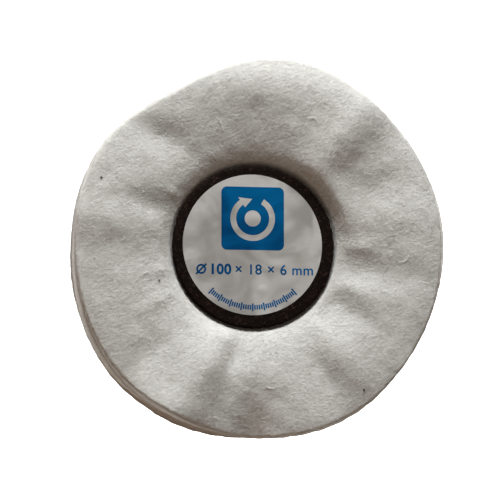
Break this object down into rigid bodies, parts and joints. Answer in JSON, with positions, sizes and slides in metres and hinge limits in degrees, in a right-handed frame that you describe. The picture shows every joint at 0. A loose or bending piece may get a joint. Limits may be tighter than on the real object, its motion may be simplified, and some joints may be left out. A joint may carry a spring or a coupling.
{
  "type": "polishing wheel",
  "caption": "Round flannel polishing wheel: loose white cloth plies clamped between two dark centre discs by clinched nails, with a round label and a pilot hole in the back.",
  "frame": {"origin": "the wheel's centre, on its spin axis and midway between its two faces", "axes": "+Z is the spin axis and points out of the labelled front, +Y points to the top of the label's print, and the wheel lies flat on its back"},
  "size_m": [0.1, 0.1, 0.0188],
  "materials": {
    "flannel": "napped off-white cotton flannel, matt and fuzzy",
    "leatherboard": "very dark brown pressed leather fibre board, satin with fine fibre flecks",
    "label_foil": "satin silver-grey metallised label film",
    "label_print": "blue printed ink on the label film",
    "nail_steel": "bright steel nail"
  },
  "bodies": {
    "root": {"ply_01": "flannel", "ply_02": "flannel", "ply_03": "flannel", "ply_04": "flannel", "ply_05": "flannel", "ply_06": "flannel", "ply_07": "flannel", "ply_08": "flannel", "ply_09": "flannel", "ply_10": "flannel", "ply_11": "flannel", "ply_12": "flannel", "ply_13": "flannel", "ply_14": "flannel", "ply_15": "flannel", "ply_16": "flannel", "ply_17": "flannel", "ply_18": "flannel", "ply_19": "flannel", "ply_20": "flannel", "front_centre_disc": "leatherboard", "back_centre_disc": "leatherboard", "front_label": "label_foil", "clinch_nail_1": "nail_steel", "clinch_nail_2": "nail_steel", "clinch_nail_3": "nail_steel", "clinch_nail_4": "nail_steel", "clinch_nail_5": "nail_steel"}
  },
  "joints": []
}
